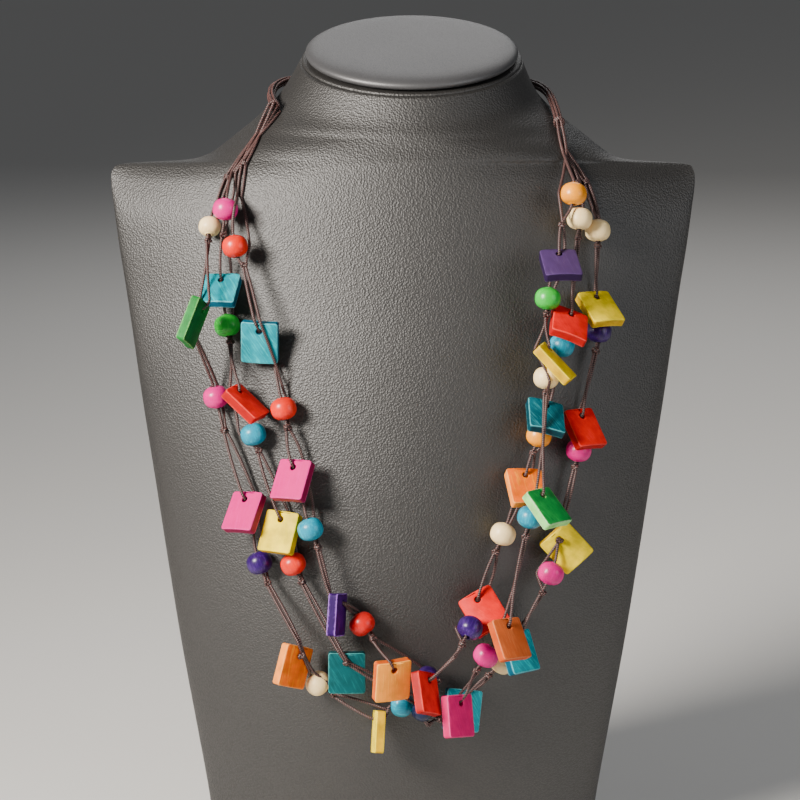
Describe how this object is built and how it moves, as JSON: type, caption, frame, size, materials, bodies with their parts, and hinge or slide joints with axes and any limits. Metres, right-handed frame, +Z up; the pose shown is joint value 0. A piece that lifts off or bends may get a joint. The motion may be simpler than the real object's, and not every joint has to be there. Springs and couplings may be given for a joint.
{
  "type": "beaded necklace on neck bust",
  "caption": "Long necklace of corded wooden beads and flat dyed tiles in layered strands, laid over a plain leatherette neck bust with a cushioned cap.",
  "frame": {"origin": "middle of the bust's flat base, on the surface it stands on", "axes": "+Z up, -Y out of the bust's front, +X to the right of someone facing that front"},
  "size_m": [0.236, 0.1703, 0.3392],
  "materials": {
    "leatherette": "satin",
    "waxed_cord": "satin",
    "tile_forest": "satin",
    "tile_rose": "satin",
    "tile_tangerine": "satin",
    "tile_yellow": "satin",
    "tile_red": "satin",
    "tile_teal": "satin",
    "tile_deep_teal": "satin",
    "tile_purple": "satin",
    "tile_peach": "satin",
    "tile_lilac": "satin",
    "tile_copper": "satin",
    "tile_magenta": "satin",
    "bead_coral": "gloss",
    "bead_teal": "gloss",
    "bead_red": "gloss",
    "bead_violet": "gloss",
    "bead_cream": "gloss",
    "bead_orange": "gloss",
    "bead_pink": "gloss",
    "bead_green": "gloss",
    "bead_navy": "gloss"
  },
  "bodies": {
    "root": {"bust_body": "leatherette", "neck_cap": "leatherette", "nape_cord_left": "waxed_cord", "nape_cord_right": "waxed_cord", "nape_knot": "waxed_cord", "wrap_left": "waxed_cord", "wrap_right": "waxed_cord", "tile_outer_left_1": "tile_forest", "tile_outer_left_2": "tile_rose", "tile_outer_left_3": "tile_tangerine", "tile_outer_left_4": "tile_yellow", "tile_outer_right_1": "tile_yellow", "tile_outer_right_2": "tile_red", "tile_outer_right_3": "tile_yellow", "tile_outer_right_4": "tile_teal", "tile_outer_right_5": "tile_teal", "tile_middle_left_1": "tile_teal", "tile_middle_left_2": "tile_red", "tile_middle_left_3": "tile_yellow", "tile_middle_left_4": "tile_deep_teal", "tile_inner_left_1": "tile_teal", "tile_inner_left_2": "tile_rose", "tile_inner_left_3": "tile_purple", "tile_inner_left_4": "tile_peach", "tile_inner_left_5": "tile_red", "tile_inner_right_1": "tile_red", "tile_inner_right_2": "tile_teal", "tile_inner_right_3": "tile_tangerine", "tile_inner_right_4": "tile_red", "tile_middle_right_1": "tile_lilac", "tile_middle_right_2": "tile_yellow", "tile_middle_right_3": "tile_forest", "tile_middle_right_4": "tile_copper", "tile_middle_right_5": "tile_magenta", "bead_inner_left_1": "bead_coral", "bead_inner_left_2": "bead_coral", "bead_inner_left_3": "bead_teal", "bead_inner_left_4": "bead_red", "bead_inner_left_5": "bead_violet", "bead_inner_right_1": "bead_cream", "bead_inner_right_2": "bead_teal", "bead_inner_right_3": "bead_orange", "bead_inner_right_4": "bead_cream", "bead_inner_right_5": "bead_violet", "thread_inner_left": "waxed_cord", "thread_inner_right": "waxed_cord", "strand_outer_left": "waxed_cord", "strand_outer_right": "waxed_cord", "strand_middle_left": "waxed_cord", "strand_middle_right": "waxed_cord"}
  },
  "joints": []
}
